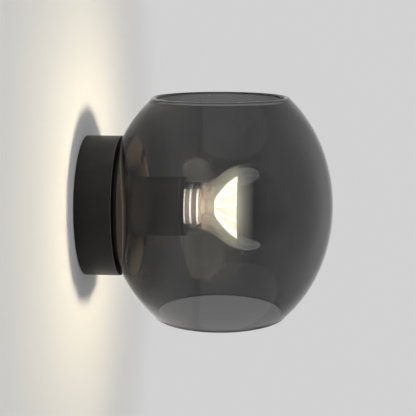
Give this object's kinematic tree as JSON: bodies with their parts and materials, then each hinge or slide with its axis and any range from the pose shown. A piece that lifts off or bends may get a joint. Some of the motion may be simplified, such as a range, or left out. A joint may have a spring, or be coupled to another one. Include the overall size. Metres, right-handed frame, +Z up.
{
  "type": "globe wall sconce",
  "caption": "Wall light with a smoked glass globe open above and below, side mounted on a black round canopy, with a crown-mirrored screw-in lamp on a tubular holder.",
  "frame": {"origin": "where the lamp axis meets the wall, at the back of the bracket", "axes": "+Z up, +Y into the wall, the lamp and its glass stand out along -Y"},
  "size_m": [0.16, 0.1749, 0.1564],
  "materials": {
    "zinc_steel": "zinc plated",
    "spring_steel": "dark blued",
    "black_screw": "black oxide",
    "brass": "bright",
    "cap_metal": "bright nickel",
    "tinned_copper": "tinned",
    "black_coat": "satin black powder coat",
    "carrier_black": "satin warm black",
    "silicone": "matt",
    "ceramic": "glazed",
    "white_plastic": "matt moulded",
    "brown_insulation": "smooth",
    "blue_insulation": "smooth",
    "green_insulation": "smooth",
    "smoked_glass": "polished, smoke grey",
    "clear_glass": "polished clear",
    "stem_glass": "polished clear",
    "black_glass": "glossy black glass",
    "silver_mirror": "mirror",
    "phosphor": "satin phosphor",
    "opal_glass": "satin opal"
  },
  "bodies": {
    "fixture": {"wall_bracket": "zinc_steel", "earth_screw": "brass", "earth_lug": "tinned_copper", "terminal_block": "white_plastic", "block_screws": "zinc_steel", "block_rivet": "zinc_steel", "canopy": "black_coat", "canopy_screw": "black_screw", "spacer_core": "black_coat", "carrier": "carrier_black", "grip_ring": "silicone", "spring_clips": "spring_steel", "clip_rivets": "spring_steel", "nipple": "zinc_steel", "nipple_nut": "brass", "tooth_washer": "zinc_steel", "holder_screws": "zinc_steel", "holder_sleeve": "black_coat", "holder_body": "ceramic", "screw_shell": "brass", "side_contact": "brass", "contact_foot": "brass", "contact_rivet": "brass", "terminals": "brass", "terminal_screws": "zinc_steel", "live_wire": "brown_insulation", "neutral_wire": "blue_insulation", "earth_wire": "green_insulation"},
    "shade": {"glass_shade": "smoked_glass"},
    "lamp_thread": {"contact_button": "tinned_copper"},
    "lamp": {"lamp_cap": "cap_metal", "cap_insulator": "black_glass", "lamp_glass": "clear_glass", "mirror_coat": "silver_mirror", "glass_stem": "stem_glass", "exhaust_tube": "stem_glass", "support_wires": "tinned_copper", "filament_ring": "tinned_copper", "filaments": "phosphor", "glow_bowl": "opal_glass"},
    "contact_spring": {"contact_tongue": "brass"}
  },
  "joints": [
    {"name": "shade_pull", "type": "slide", "parent": "fixture", "child": "shade", "axis": [0, -1, 0], "range_m": [0, 0.13]},
    {"name": "lamp_travel", "type": "slide", "parent": "fixture", "child": "lamp_thread", "axis": [0, -1, 0], "range_m": [0, 0.0182]},
    {"name": "lamp_turn", "type": "hinge", "parent": "lamp_thread", "child": "lamp", "pos_m": [0, -0.0415, 0], "axis": [0, -1, 0], "range_deg": [0, 1800]},
    {"name": "contact_press", "type": "hinge", "parent": "fixture", "child": "contact_spring", "pos_m": [0.0102, -0.03975, 0], "axis": [0, 0, -1], "range_deg": [0, 5], "stiffness_Nm_per_rad": 0.4}
  ],
  "couplings": [
    {"joint": "lamp_travel", "follows": "lamp_turn", "m_per_rad": 0.00057757}
  ]
}
